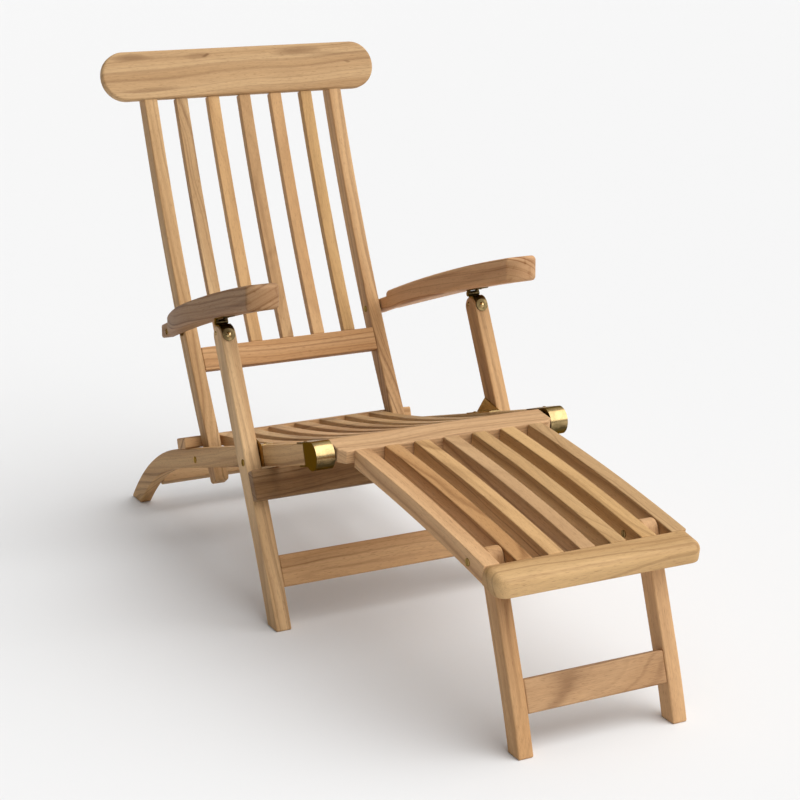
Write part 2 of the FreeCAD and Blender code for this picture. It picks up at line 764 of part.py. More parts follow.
def above_arm_tip():
    """What is cut away behind the arm's step, above its tip."""
    rear, ahead = [arm_under.point(s, -arm_tip_thickness) for s in (0, 2 * arm_tip_reach)]
    slope = (ahead[1] - rear[1]) / (ahead[0] - rear[0])
    corners = [(y, rear[1] + slope * (y - rear[0])) for y in (arm_step_y, 2 * arm_step_y)]
    return outline(corners + [(2 * arm_step_y, rail_run), (arm_step_y, rail_run)], rail_inner - 1, arm_outer_x + 1)


def arm_edges_rounded(shape):
    """The arm with its long edges rounded, then those of its tip."""
    picked = [e for e in sharp_edges(shape) if e.BoundBox.YMin < arm_step_y - arm_step_width]
    shape = shape.makeFillet(arm_edge_round, picked)
    picked = [e for e in sharp_edges(shape) if e.BoundBox.YMax > arm_step_y + 1]
    return shape.makeFillet(arm_tip_round, picked)


def arm():
    x0, x1 = rail_inner, arm_outer_x
    length = [c.runs[0][2] for c in (arm_under, arm_top)]
    edges = arm_under.edges(0, length[0], 0, x0) + arm_top.edges(0, length[1], 0, x0)
    edges.append(Part.makeLine(vec(x0, *arm_under_rear), vec(x0, *arm_top_rear)))
    edges.append(Part.makeLine(vec(x0, *arm_under_front), vec(x0, *arm_top_front)))
    side = corner_rounded(slab(edges, x0, x1), arm_top_front, arm_front_round)
    prism = Part.Face(arm_plan()).extrude(vec(0, 0, 2 * width_over_legs))
    shape = arm_edges_rounded(side.common(prism).cut(above_arm_tip()).removeSplitter())
    shape = shape.cut(bolt_hole(arm_pivot, rail_inner, arm_outer_x))
    shape = shape.cut(head_seat(arm_pivot, arm_bolt_seat_x, 1))
    for place in leaf_screw_places():
        shape = shape.cut(screw_hole(*place))
    return shape


def leg_rest_rear_rail():
    half = rest_rail_depth / 2
    thick = rest_rail_thickness / 2
    shape = bar(rest_rail_course, -half, half, -thick, thick, -rest_rail_end_x, rest_rail_end_x)
    shape = rounded(chamfered_ends(shape), soft_edge)
    for x in (-rest_rail_end_x, rest_rail_end_x):
        bore = 2 * tenon_length + 2
        hole = rod(rest_pivot, x - bore, x + bore, bolt_radius + pin_clearance)
        shape = shape.cut(hole)
    for x in spread(slat_count, slat_pitch):
        shape = shape.cut(rest_tongue(x, joint_gap))
    return shape


def chamfered_ends(shape):
    """The rail with its two front corners cut off, seen from above."""
    picked = []
    for edge in sharp_edges(shape):
        ends = [v.Point for v in edge.Vertexes]
        upright = abs(ends[0].x - ends[1].x) < 0.01 and abs(abs(ends[0].x) - rest_rail_end_x) < 0.01
        if upright and edge.Length < rest_rail_thickness + 1 and min(p.y for p in ends) < rest_pivot[0] - 10:
            picked.append(edge)
    return shape.makeChamfer(rest_rail_chamfer, picked)


def rest_tongue(x, gap):
    return slat_tongue(rest_course, 0, rest_run, x, slat_width, rest_rail_thickness / 2, gap)


def rest_slat(x):
    shape = slat(rest_course, 0, rest_run, 0, rest_slat_depth, x, slat_width, rest_rail_thickness / 2, fine_edge)
    if abs(x) < rest_bolt_inner:
        return shape
    shape = shape.cut(bolt_hole(rest_leg_pivot, -leg_outer, leg_outer))
    for side in (-1, 1):
        shape = shape.cut(head_seat(rest_leg_pivot, side * rest_bolt_outer, side))
        shape = shape.cut(head_seat(rest_leg_pivot, side * rest_bolt_inner, -side))
    return shape


rest_bolt_outer = slat_pitch * (slat_count - 1) / 2 + slat_width / 2 + bolt_head_proud
rest_bolt_inner = slat_pitch * (slat_count - 3) / 2 - slat_width / 2 - bolt_head_proud


def nosing_above(edge):
    """True for an edge on the nosing's top face."""
    low, high = nosing_course.point(0), nosing_course.point(nosing_depth)
    slope = (high[1] - low[1]) / (high[0] - low[0])
    return all(abs(v.Z - low[1] - slope * (v.Y - low[0])) < 0.01 for v in edge.Vertexes)


def leg_rest_nosing():
    half = slat_pitch * (slat_count - 1) / 2 + slat_width / 2 + nosing_overhang
    shape = bar(nosing_course, joint_gap, nosing_depth, 0, nosing_thickness, -half, half)
    front = nosing_course.point(nosing_depth)[0] + nosing_thickness / 2
    upright = [e for e in sharp_edges(shape) if e.BoundBox.XLength < 1 and e.BoundBox.YMax < front]
    shape = shape.makeFillet(nosing_corner, upright)
    top = [e for e in sharp_edges(shape) if nosing_above(e) and e.BoundBox.YMin < nosing_back[0] - 1]
    shape = rounded(shape.makeFillet(nosing_round, top), soft_edge)
    for x in spread(slat_count, slat_pitch):
        shape = shape.cut(rest_tongue(x, joint_gap))
    return shape


def leg_rest_leg():
    shape = bar(rest_leg_course, -rest_leg_top_reach, rest_leg_run, -rest_leg_half, rest_leg_half,
                rest_leg_inner, rest_leg_outer)
    top = rest_leg_course.point(-rest_leg_top_reach)
    shape = shape.fuse(rod(top, rest_leg_inner, rest_leg_outer, rest_leg_half)).removeSplitter()
    shape = rounded(above_floor(shape), soft_edge)
    shape = shape.cut(bolt_hole(rest_leg_pivot, rest_leg_inner, rest_leg_outer))
    return shape.cut(tenon(rest_stretcher_size, joint_gap))


def all_parts():
    slats = spread(slat_count, slat_pitch)
    rail = side_rail()
    post = back_post()
    leg = front_leg()
    rest_leg = leg_rest_leg()
    one_arm = arm()
    cup = leg_rest_cup()
    plate = pivot_plate()
    parts = {}
    for name, solid in (("side_rail", rail), ("back_post", post), ("front_leg", leg), ("arm", one_arm),
                        ("leg_rest_leg", rest_leg), ("leg_rest_cup", cup), ("pivot_plate", plate)):
        parts[name + "_right"] = solid
        parts[name + "_left"] = mirrored(solid)
    parts["rear_stretcher"] = cross_piece(rear_stretcher_size, soft_edge)
    parts["seat_rear_rail"] = seat_rear_rail()
    parts["seat_front_rail"] = seat_front_rail()
    parts["headboard"] = headboard()
    parts["back_cross_rail"] = back_cross_rail()
    parts["front_apron"] = front_apron()
    parts["front_leg_stretcher"] = cross_piece(leg_stretcher_size, soft_edge)
    parts["leg_rest_rear_rail"] = leg_rest_rear_rail()
    parts["leg_rest_nosing"] = leg_rest_nosing()
    parts["leg_rest_stretcher"] = cross_piece(rest_stretcher_size, soft_edge)
    for i, x in enumerate(slats, 1):
        parts[f"seat_slat_{i}"] = seat_slat(x)
        parts[f"leg_rest_slat_{i}"] = rest_slat(x)
    for i, x in enumerate(spread(back_slat_count, back_slat_pitch), 1):
        parts[f"back_slat_{i}"] = back_slat(x)
    parts["back_pivot_bolts"] = both([bolt(back_pivot, post_inner - bolt_head_proud, rail_outer + bolt_head_proud)])
    parts["back_pivot_washers"] = both([washer()])
    parts["front_leg_pivot_bolts"] = both([bolt(leg_pivot, rail_inner - bolt_head_proud,
                                                leg_outer + bolt_head_proud)])
    parts["arm_bolts"] = both([bolt(arm_pivot, post_inner - bolt_head_proud, arm_bolt_seat_x)])
    parts["arm_washers"] = both([arm_washer()])
    parts["leg_rest_leg_bolts"] = both([bolt(rest_leg_pivot, rest_bolt_inner, rest_bolt_outer)])
    parts["leg_rest_pivot_pins"] = both([leg_rest_pin()])
    parts["leg_hinge_straps"] = both([hinge_strap()])
    parts["arm_hinge_leaves"] = both([hinge_leaf()])
    parts["arm_hinge_pins"] = both([hinge_pin()])
    parts["cup_screws"] = both([screw(*cup_screw_place())])
    parts["pivot_plate_screws"] = both([screw(*p) for p in plate_screw_places()])
    parts["strap_screws"] = both([screw(*p, strap_screw_head_radius, strap_screw_head_height)
                                  for p in strap_screw_places()])
    parts["leaf_screws"] = both([screw(*p) for p in leaf_screw_places()])
    return parts


def main():
    os.makedirs("parts", exist_ok=True)
    parts = all_parts()
    box = Part.makeCompound(list(parts.values())).optimalBoundingBox(False, False)
    middle = round((box.YMin + box.YMax) / 2, 2)
    print("moved along Y by", -middle, "length", box.YLength, "width", box.XLength, "height", box.ZMax)
    for name, point in (("back", back_pivot), ("leg", leg_pivot), ("arm", arm_pivot), ("hinge", arm_hinge),
                        ("rest", rest_pivot), ("rest leg", rest_leg_pivot)):
        print(name, "pivot y", round(point[0] - middle, 3), "z", round(point[1], 3))
    for name, shape in parts.items():
        shape.translate(vec(0, -middle, 0))
        if not shape.isValid():
            print("not valid:", name)
        shape.exportStep(f"parts/{name}.step")


main()
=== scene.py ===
"""Looks of a teak steamer deck chair, laid out as an add-on and run as a script.

The chair's shapes come from the frame, but for the heads of four pins. Lengths are in metres. The
foot end is at -Y and the headboard at +Y, and right is +X, as seen from the foot end.
"""

import json
import math

import bpy
import numpy as np
from mathutils import Matrix, Vector


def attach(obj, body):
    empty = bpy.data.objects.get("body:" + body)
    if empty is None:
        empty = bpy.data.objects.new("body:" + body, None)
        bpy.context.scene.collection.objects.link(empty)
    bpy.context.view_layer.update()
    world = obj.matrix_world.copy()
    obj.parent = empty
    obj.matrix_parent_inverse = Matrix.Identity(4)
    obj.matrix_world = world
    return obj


bl_info = {
    "name": "Steamer Deck Chair",
    "version": (1, 0, 0),
    "blender": (4, 5, 0),
    "location": "3D View > Sidebar > Deck Chair",
    "description": "Finishes a folding teak deck chair and its brass fittings",
    "category": "Object",
}

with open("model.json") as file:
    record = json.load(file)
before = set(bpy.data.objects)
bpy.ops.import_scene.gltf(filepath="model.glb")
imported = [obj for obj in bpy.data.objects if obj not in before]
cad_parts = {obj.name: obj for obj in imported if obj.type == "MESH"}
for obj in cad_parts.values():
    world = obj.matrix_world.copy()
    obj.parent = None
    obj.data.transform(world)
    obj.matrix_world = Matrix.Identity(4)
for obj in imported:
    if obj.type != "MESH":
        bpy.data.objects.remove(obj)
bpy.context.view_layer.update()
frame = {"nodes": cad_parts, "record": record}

FULL_TURN = 2 * math.pi
QUARTER = math.pi / 2

# Clouds in the wood: cycles per metre along the grain and across it, detail, roughness, and an
# offset that sets a cloud apart from others of a like stretch.
WAVE = (2.6, 7.0, 2.0, 0.5, 0.0)
SWAY = (3.4, 5.0, 1.0, 0.5, 4.7)
FUZZ = (14.0, 150.0, 2.0, 0.5, 0.0)
PATCH = (1.6, 9.0, 1.0, 0.5, 8.1)
BAND = (3.5, 28.0, 2.0, 0.5, 0.0)
STREAK = (2.4, 75.0, 2.0, 0.5, 0.0)
FIBRE = (32.0, 1100.0, 2.0, 0.65, 0.0)
PORES_ACROSS = 1300.0

# How far the growth lines wander along a board, and how far their edges fray.
WANDER = 0.030
FRAY = 0.0014

# Cycles per metre of the patches of dull brass, and of the rubbing marks along and across them.
DULL_PATCHES = 55.0
RUBBING = (220.0, 1900.0, 2.0, 0.5, 0.0)

# Rise of the pieces that lie in the side view, in degrees from +Y. All others lie along X.
SLOPES = {
    "arm_": -17, "side_rail": -16, "seat_slat": -15, "leg_rest_slat": 8, "back_slat": 65,
    "front_leg_left": 65, "front_leg_right": 65, "back_post": 66, "leg_rest_leg": 71,
}
# How light a board is, times its own share of the spread between boards. Partly the board's own
# tone, partly painted shade and light: the front apron is darkened for the shade under the seat,
# and the left arm darkened and the right arm lightened for how the light falls on them.
TONES_AND_PAINTED_LIGHT = {
    "front_apron": 0.5, "rear_stretcher": 0.75, "side_rail": 0.86, "leg_rest_stretcher": 0.86,
    "arm_left": 0.88, "seat_front_rail": 0.9, "headboard": 0.93, "back_post": 0.94,
    "front_leg_left": 1.06, "leg_rest_rear_rail": 1.17, "arm_right": 1.5,
}
# Boards whose grey cast or strength of figure differs from the spread, and the painted light on
# the arms' faces that look to the foot end: lighter on the left arm, painted shade on the right.
CASTS = {"arm_left": 0.55, "arm_right": 0.55}
FIGURES = {"arm_left": 1.7, "arm_right": 1.5, "headboard": 0.75}
PAINTED_FRONT_LIGHT = {"arm_left": 0.16, "arm_right": -0.30}
# Knots and smudges in the headboard's face: x, z, half length, half height, depth.
MARKS = {"headboard": (
    (-0.077, 0.950, 0.007, 0.004, 0.8), (-0.095, 0.950, 0.035, 0.007, 0.35),
    (0.241, 0.925, 0.007, 0.004, 0.6), (-0.235, 0.952, 0.050, 0.008, 0.55),
    (0.130, 0.951, 0.060, 0.009, 0.55), (0.200, 0.944, 0.060, 0.005, 0.35),
    (-0.200, 0.893, 0.070, 0.005, 0.40),
)}

# How far each fitting has darkened, from 0 to 1: tarnish, and on the straps and leaves painted
# dark reflection as well. Then how much painted dark reflection the cups get on their faces that
# look sideways or down, darker brass that stands in for the dark surroundings.
AGES_AND_PAINTED_REFLECTION = {
    "strap_screws": 0.0, "cup_left": 0.16, "cup_right": 0.16, "plate_left": 0.2,
    "plate_right": 0.2, "bolts": 0.45, "pins": 0.6, "washers": 0.6, "straps": 0.85, "leaves": 0.85,
}
AGE = 0.12
PAINTED_REFLECTION_AWAY = {"cup_": 0.9}

# The front legs' sides near their tops: x of the outer and inner face of the right leg with the
# way each looks, then y and z of the pin.
LEG_FACES = ((0.280, 1), (0.250, -1))
PIN_PLACE = (0.14528, 0.4982)
PIN_SEED = 584
PIN_AGE = 0.5

# The floor: radius of its flat part, radius of the bend at its rim, height of the wall behind it,
# and the numbers of rings and sides.
FLOOR_FLAT, FLOOR_BEND, FLOOR_WALL = 29.0, 2.5, 3.4
FLOOR_STEPS, FLOOR_SIDES = 32, 96

# The camera's sensor in millimetres, the image's width in pixels, and how far the camera sees.
SENSOR, FRAME_WIDTH, VIEW_END = 36.0, 800, 60.0


class TeakSettings(bpy.types.PropertyGroup):
    """Colours and scale of the sanded teak."""

    pale: bpy.props.FloatVectorProperty(
        name="Pale wood", description="Colour of the light bands",
        subtype="COLOR", default=(0.66, 0.425, 0.215), min=0, max=1)
    honey: bpy.props.FloatVectorProperty(
        name="Honey wood", description="Colour of the broad warm bands",
        subtype="COLOR", default=(0.46, 0.26, 0.112), min=0, max=1)
    dark: bpy.props.FloatVectorProperty(
        name="Dark lines", description="Colour of the growth lines, pores and knots",
        subtype="COLOR", default=(0.17, 0.075, 0.026), min=0, max=1)
    grey: bpy.props.FloatVectorProperty(
        name="Grey cast", description="Colour that some boards lean towards",
        subtype="COLOR", default=(0.27, 0.175, 0.11), min=0, max=1)
    ring_width: bpy.props.FloatProperty(
        name="Ring width", description="Distance between growth lines",
        subtype="DISTANCE", unit="LENGTH", default=0.007, min=0.001)
    pore_length: bpy.props.FloatProperty(
        name="Pore length", description="Length of the short dark pores",
        subtype="DISTANCE", unit="LENGTH", default=0.011, min=0.001)
    roughness: bpy.props.FloatProperty(
        name="Roughness", description="Roughness of the sanded face",
        subtype="FACTOR", default=0.5, min=0, max=1)


class BrassSettings(bpy.types.PropertyGroup):
    """Colour and polish of the brass fittings, and the size of the leg pins' heads."""

    colour: bpy.props.FloatVectorProperty(
        name="Brass", description="Colour of clean brass",
        subtype="COLOR", default=(0.60, 0.425, 0.20), min=0, max=1)
    # This colour is tarnish, and also the painted dark reflection on the straps, the leaves and the
    # cups' faces that look sideways or down.
    patina_and_painted_reflection: bpy.props.FloatVectorProperty(
        name="Patina", description="Colour where the brass has darkened with age",
        subtype="COLOR", default=(0.090, 0.064, 0.028), min=0, max=1)
    roughness: bpy.props.FloatProperty(
        name="Roughness", description="Roughness where it is polished",
        subtype="FACTOR", default=0.16, min=0, max=1)
    pin_radius: bpy.props.FloatProperty(
        name="Pin radius", description="Radius of the pins' heads on the front legs",
        subtype="DISTANCE", unit="LENGTH", default=0.0042, min=0.001)
    pin_height: bpy.props.FloatProperty(
        name="Pin height", description="How far the pins' heads stand off the wood",
        subtype="DISTANCE", unit="LENGTH", default=0.0014, min=0.0002)


class StudioSettings(bpy.types.PropertyGroup):
    """Camera and light. The camera is described from the middle of the chair."""

    azimuth: bpy.props.FloatProperty(
        name="Azimuth", description="Turn of the camera round the chair, 0 looks along +Y",
        subtype="ANGLE", default=math.radians(-26.773))
    elevation: bpy.props.FloatProperty(
        name="Elevation", description="Height angle of the camera",
        subtype="ANGLE", default=math.radians(15.278))
    roll: bpy.props.FloatProperty(
        name="Roll", description="Turn about the viewing line",
        subtype="ANGLE", default=math.radians(-0.285))
    distance: bpy.props.FloatProperty(
        name="Distance", description="From the target to the camera",
        subtype="DISTANCE", unit="LENGTH", default=3.5666, min=0.1)
    target: bpy.props.FloatVectorProperty(
        name="Target", description="Point that the distance is measured from",
        subtype="TRANSLATION", default=(0.0, -0.01157, 0.45))
    offset: bpy.props.FloatVectorProperty(
        name="Offset", description="Sideways and upward step of the camera",
        subtype="TRANSLATION", size=2, default=(0.0180, -0.06857))
    focal_pixels: bpy.props.FloatProperty(
        name="Focal length", description="In pixels of an image 800 pixels wide",
        subtype="PIXEL", default=1939.4, min=1)
    lift: bpy.props.FloatProperty(
        name="Lift", description="Upward shift of the lens, as a share of the image's width",
        default=-0.0038)
    floor: bpy.props.FloatVectorProperty(
        name="Floor", description="Colour of the floor and its wall",
        subtype="COLOR", default=(0.80, 0.80, 0.80), min=0, max=1)
    key_strength: bpy.props.FloatProperty(
        name="Key light", description="Strength of the large soft light", default=2.45, min=0)
    key_softness: bpy.props.FloatProperty(
        name="Softness", description="Apparent size of the large soft light",
        subtype="ANGLE", default=math.radians(75), min=0, max=math.pi)
    key_from: bpy.props.FloatVectorProperty(
        name="Light from", description="Direction in which the large soft light lies",
        subtype="DIRECTION", default=(0.46, -0.50, 0.80))
    sky_light: bpy.props.FloatVectorProperty(
        name="Light sky", description="Colour of the room on the bright side",
        subtype="COLOR", default=(1.0, 1.0, 1.0), min=0, max=1)
    sky_dark: bpy.props.FloatVectorProperty(
        name="Dark sky", description="Colour of the room on the shaded side",
        subtype="COLOR", default=(0.04, 0.04, 0.04), min=0, max=1)
    sky_strength: bpy.props.FloatProperty(
        name="Sky", description="Strength of the light from all round", default=0.95, min=0)


def arithmetic(operation):
    """An operator's plain and reflected forms, which each add a Math node of the operation."""

    def plain(self, other):
        return self.tree.maths(operation, self, other)

    def reflected(self, other):
        return self.tree.maths(operation, other, self)

    return plain, reflected


class Value:
    """A socket in a shader's node tree. Arithmetic on it adds the Math nodes that it needs."""

    def __init__(self, tree, socket):
        self.tree = tree
        self.socket = socket

    __add__, __radd__ = arithmetic("ADD")
    __sub__, __rsub__ = arithmetic("SUBTRACT")
    __mul__, __rmul__ = arithmetic("MULTIPLY")
    __pow__, __rpow__ = arithmetic("POWER")


class ShaderTree:
    """A node tree, to which nodes are added one at a time."""

    def __init__(self, node_tree):
        self.nodes = node_tree.nodes
        self.links = node_tree.links

    def node(self, kind, settings=None, *values, output=0, at=None, **named):
        """Adds a node, sets its settings, then gives its sockets values or links.

        values go to its first sockets in order, at to those of the numbers that it holds, and named
        to those of their names. The result is the output of the given number or name.
        """
        made = self.nodes.new(kind)
        for key, setting in (settings or {}).items():
            setattr(made, key, setting)
        for key, value in {**dict(enumerate(values)), **(at or {})}.items():
            self.give(made.inputs[key], value)
        for key, value in named.items():
            self.give(made.inputs[key.replace("_", " ")], value)
        return Value(self, made.outputs[output])

    def give(self, socket, value):
        """Links a Value to the socket, or sets the socket to a number or colour."""
        if isinstance(value, Value):
            self.links.new(value.socket, socket)
        else:
            socket.default_value = value

    def maths(self, operation, *values):
        """Adds a Math node."""
        return self.node("ShaderNodeMath", {"operation": operation}, *values)

    def vector_maths(self, operation, *values):
        """Adds a Vector Math node."""
        return self.node("ShaderNodeVectorMath", {"operation": operation}, *values)

    def mix(self, factor, first, second):
        """Mixes two colours. They are the Mix node's seventh and eighth sockets."""
        sockets = {0: factor, 6: first, 7: second}
        return self.node("ShaderNodeMix", {"data_type": "RGBA"}, at=sockets, output=2)

    def noise(self, vector, scale, detail, roughness):
        """Cloudy values from 0 to 1, mostly near 0.5."""
        return self.node("ShaderNodeTexNoise", {"noise_dimensions": "3D"}, Vector=vector,
                         Scale=scale, Detail=detail, Roughness=roughness)

    def stretched_noise(self, vector, along, across, detail, roughness, offset):
        """Cloudy values with their own scale along the first axis and across it."""
        place = self.vector_maths("MULTIPLY", vector, (along, across, across))
        if offset:
            place = self.vector_maths("ADD", place, (offset,) * 3)
        return self.noise(place, 1.0, detail, roughness)

    def line_noise(self, value, detail, roughness):
        """Uneven bands along one value, about one for each unit."""
        return self.node("ShaderNodeTexNoise", {"noise_dimensions": "1D"}, W=value, Scale=1.0,
                         Detail=detail, Roughness=roughness)

    def span(self, value, low, high):
        """0 up to low, 1 from high on, and a straight rise between them."""
        return self.node("ShaderNodeMapRange", {"clamp": True}, value, low, high, 0.0, 1.0)

    def parts(self, vector):
        """The three numbers of a vector."""
        split = self.node("ShaderNodeSeparateXYZ", None, vector).socket.node
        return [Value(self, socket) for socket in split.outputs]


class Finish(ShaderTree):
    """A new material."""

    def __init__(self, name):
        self.material = bpy.data.materials.new(name)
        self.material.use_nodes = True
        super().__init__(self.material.node_tree)

    def set(self, name, value):
        """Gives a socket of the material's own shader a value or a link."""
        self.give(self.nodes["Principled BSDF"].inputs[name], value)


def colour(rgb):
    """The colour with full opacity, as sockets take it."""
    return (*rgb, 1.0)


def teak(name, turn, seed, tone, figure, cast, front, marks):
    """Sanded teak whose grain runs along the piece.

    turn is the rotation that brings the piece's length onto the texture's X axis. Growth lines are
    bands of uneven width at a distance from a heart line that lies beside the board and slants a
    little along it, so that faces show long streaks and arches, and ends show parts of rings. Pores
    are short dark dashes along the grain. tone lightens or darkens the board, figure sets how
    strong the lines are, and cast how grey it is. front is painted light on the faces that look to
    the foot end: how much lighter they are made, and painted shade where it is below zero. marks
    are dark knots and smudges as (x, z, half length, half height, depth), on a board that lies
    along X.
    """
    wood = bpy.context.scene.deck_chair_teak
    random = np.random.default_rng(seed)
    angle = random.uniform(0, FULL_TURN)
    reach = random.uniform(0.03, 0.09)
    slant = random.uniform(-0.05, 0.05, 2)
    shift = tuple(random.uniform(2, 9, 3))
    hue = 0.5 + random.uniform(-0.006, 0.004)
    saturation = random.uniform(0.98, 1.08)

    tree = Finish(name)
    place = tree.node("ShaderNodeTexCoord", output="Object")
    turned = tree.node("ShaderNodeMapping", None, place, (0.0, 0.0, 0.0), turn)
    grain = tree.vector_maths("ADD", turned, shift)
    x, y, z = tree.parts(turned)

    # Distance from the heart line, frayed a little.
    wave = tree.stretched_noise(grain, *WAVE) - 0.5
    sway = tree.stretched_noise(grain, *SWAY) - 0.5
    across = y + x * slant[0] + wave * WANDER - reach * math.cos(angle)
    through = z + x * slant[1] + sway * WANDER - reach * math.sin(angle)
    away = (across * across + through * through) ** 0.5
    fuzz = tree.stretched_noise(grain, *FUZZ) - 0.5
    ring = away + fuzz * FRAY

    # Growth lines, broad bands, and what runs along the grain on its own.
    lines = tree.line_noise(ring * (1 / wood.ring_width), 2.0, 0.6)
    dark_line = tree.span(lines, 0.50, 0.72)
    wide_lines = tree.line_noise(ring * (0.26 / wood.ring_width) + 3.3, 1.0, 0.5)
    broad = tree.span(wide_lines, 0.36, 0.64)
    patch = tree.span(tree.stretched_noise(grain, *PATCH), 0.36, 0.66)
    band = tree.stretched_noise(grain, *BAND)
    streak = tree.span(tree.stretched_noise(grain, *STREAK), 0.55, 0.78)
    fibre = tree.stretched_noise(grain, *FIBRE)
    pores = tree.stretched_noise(grain, 1 / wood.pore_length, PORES_ACROSS, 0.0, 0.5, 0.0)
    dash = tree.span(pores, 0.64, 0.80)

    honey = broad * 0.52 + band * 0.40 + patch * 0.16
    tint = tree.mix(honey, colour(wood.pale), colour(wood.honey))
    if cast:
        tint = tree.mix(cast, tint, colour(wood.grey))
    drawn = (dark_line * (patch * 0.30 + 0.30) + streak * 0.34) * figure
    tint = tree.mix(drawn, tint, colour(wood.dark))
    for middle, level, length, height, depth in marks:
        off = (x - middle + fuzz * 0.03) * (1 / length)
        up = (z - level + wave * 0.02 + fuzz * 0.006) * (1 / height)
        spot = 1.0 - tree.span(off * off + up * up, 0.0, 1.0)
        tint = tree.mix(spot * depth, tint, colour(wood.dark))
    tint = tree.mix(dash * 0.42, tint, colour(wood.dark))

    light = (fibre - 0.5) * 0.46 + tone
    # Painted light: the faces that look to the foot end are made lighter by front, and darker, as
    # painted shade, where front is below zero.
    if front:
        _, facing, _ = tree.parts(tree.node("ShaderNodeTexCoord", output="Normal"))
        light = light + tree.span(0.0 - facing, 0.45, 0.85) * front
    tree.set("Base Color", tree.node("ShaderNodeHueSaturation", None, Hue=hue,
                                     Saturation=saturation, Value=light, Color=tint))
    tree.set("Roughness", fibre * 0.16 + dash * 0.1 + wood.roughness)
    relief = 1.0 - dash * 0.7 - dark_line * 0.15 + fibre * 0.35
    tree.set("Normal", tree.node("ShaderNodeBump", None, Strength=0.4, Distance=0.00035,
                                 Height=relief))
    tree.set("Specular IOR Level", 0.2)
    return tree.material


def brass(name, seed, age_and_painted_reflection, away=0.0):
    """Brass in soft patches of bright and dull, with fine rubbing marks.

    age_and_painted_reflection is how far it has darkened all over: tarnish, and on the straps and
    leaves painted dark reflection as well. away adds painted dark reflection on the faces that look
    sideways or down, darker brass that stands in for the dark surroundings that they reflect.
    """
    metal = bpy.context.scene.deck_chair_brass
    tree = Finish(name)
    place = tree.node("ShaderNodeTexCoord", output="Object")
    shifted = tree.node("ShaderNodeMapping", None, place, (seed * 1.7, seed * 0.9, 0.0))
    patches = tree.noise(shifted, DULL_PATCHES, 4.0, 0.6)
    rubbing = tree.stretched_noise(shifted, *RUBBING)
    dull = tree.span(patches, 0.42, 0.70) * 0.4 + age_and_painted_reflection
    # Painted dark reflection: faces that look sideways or down are darkened towards the tarnish
    # colour, standing in for the dark surroundings that the brass reflects.
    if away:
        side, _, rise = tree.parts(tree.node("ShaderNodeTexCoord", output="Normal"))
        sideways = tree.span(tree.maths("ABSOLUTE", side), 0.6, 0.9)
        painted_dark_reflection = tree.maths("MAXIMUM", 1.0 - tree.span(rise, -0.45, 0.10), sideways)
        dull = dull + painted_dark_reflection * away
    tree.set("Base Color", tree.mix(tree.maths("MINIMUM", dull, 1.0), colour(metal.colour),
                                    colour(metal.patina_and_painted_reflection)))
    tree.set("Roughness", dull * 0.10 + rubbing * 0.07 + metal.roughness)
    tree.set("Normal", tree.node("ShaderNodeBump", None, Strength=0.10, Distance=0.0002,
                                 Height=rubbing))
    tree.set("Metallic", 1.0)
    tree.set("Specular Tint", colour(metal.colour))
    return tree.material


def finish_node(name, material):
    """Gives a CAD node its material."""
    piece = frame["nodes"][name]
    piece.data.materials.clear()
    piece.data.materials.append(material)


def nodes_of(slot):
    """The CAD nodes of one material, by name."""
    return sorted(part["node"] for part in frame["record"]["subparts"]
                  if part["material_slot"] == slot)


def matching(table, name, default):
    """The table's value for the key that the name holds."""
    return next((value for key, value in table.items() if key in name), default)


def spread(number, step, low, reach):
    """A value from low to low + reach that jumps about from one number to the next."""
    return low + reach * ((number * step) % 1.0)


def add_object(name, data):
    """Adds an object at the origin."""
    made = bpy.data.objects.new(name, data)
    bpy.context.scene.collection.objects.link(made)
    return made


def add_piece(name, points, polygons):
    """Adds a smooth piece with its place in its mesh."""
    mesh = bpy.data.meshes.new(name)
    mesh.from_pydata(points, [], polygons)
    mesh.update()
    mesh.shade_smooth()
    return add_object(name, mesh)


def round_net(sides, rings, first):
    """Numbers of a round shape's points, and of the points beside them on the next spoke.

    The points are numbered from first on, spoke by spoke and from the middle outwards. The last
    spoke has the first one beside it, so the shape closes.
    """
    here = first + np.arange(sides * rings).reshape(sides, rings)
    return here, np.roll(here, -1, 0)


def fan(middle, here, beside):
    """Triangles from a middle point to each step of one ring."""
    return np.stack([np.full(len(here), middle), here, beside], -1).tolist()


def bands(here, beside):
    """Quads between each ring and the next one outwards."""
    corners = [here[:, :-1], here[:, 1:], beside[:, 1:], beside[:, :-1]]
    return np.stack(corners, -1).reshape(-1, 4).tolist()


def dome(place, radius, height, first, sides=24, rings=5, sunk=0.0004):
    """Points and polygons of a shallow dome on a face that looks along X, closed inside the wood.

    place is the middle of the dome's base and the side that it looks to, and first the number of
    its first point. The height over the base falls from the middle to the rim as the cosine of the
    share of the way there. The last ring lies below the rim, sunk into the wood.
    """
    x, y, z, out = place
    share = np.append(np.linspace(1, rings, rings) / rings, 1.0)
    rise = np.append(height * np.cos(share[:-1] * math.pi / 2), -sunk)
    angle = np.linspace(0, FULL_TURN, sides, endpoint=False)[:, None] * out
    spokes = np.stack([x + out * np.tile(rise, (sides, 1)), y + np.cos(angle) * share * radius,
                       z + np.sin(angle) * share * radius], -1)
    middles = [[x + out * height, y, z], [x - out * sunk, y, z]]
    here, beside = round_net(sides, len(share), first + len(middles))
    polygons = (fan(first, here[:, 0], beside[:, 0]) + fan(first + 1, beside[:, -1], here[:, -1])
                + bands(here, beside))
    return np.vstack([middles, spokes.reshape(-1, 3)]).tolist(), polygons


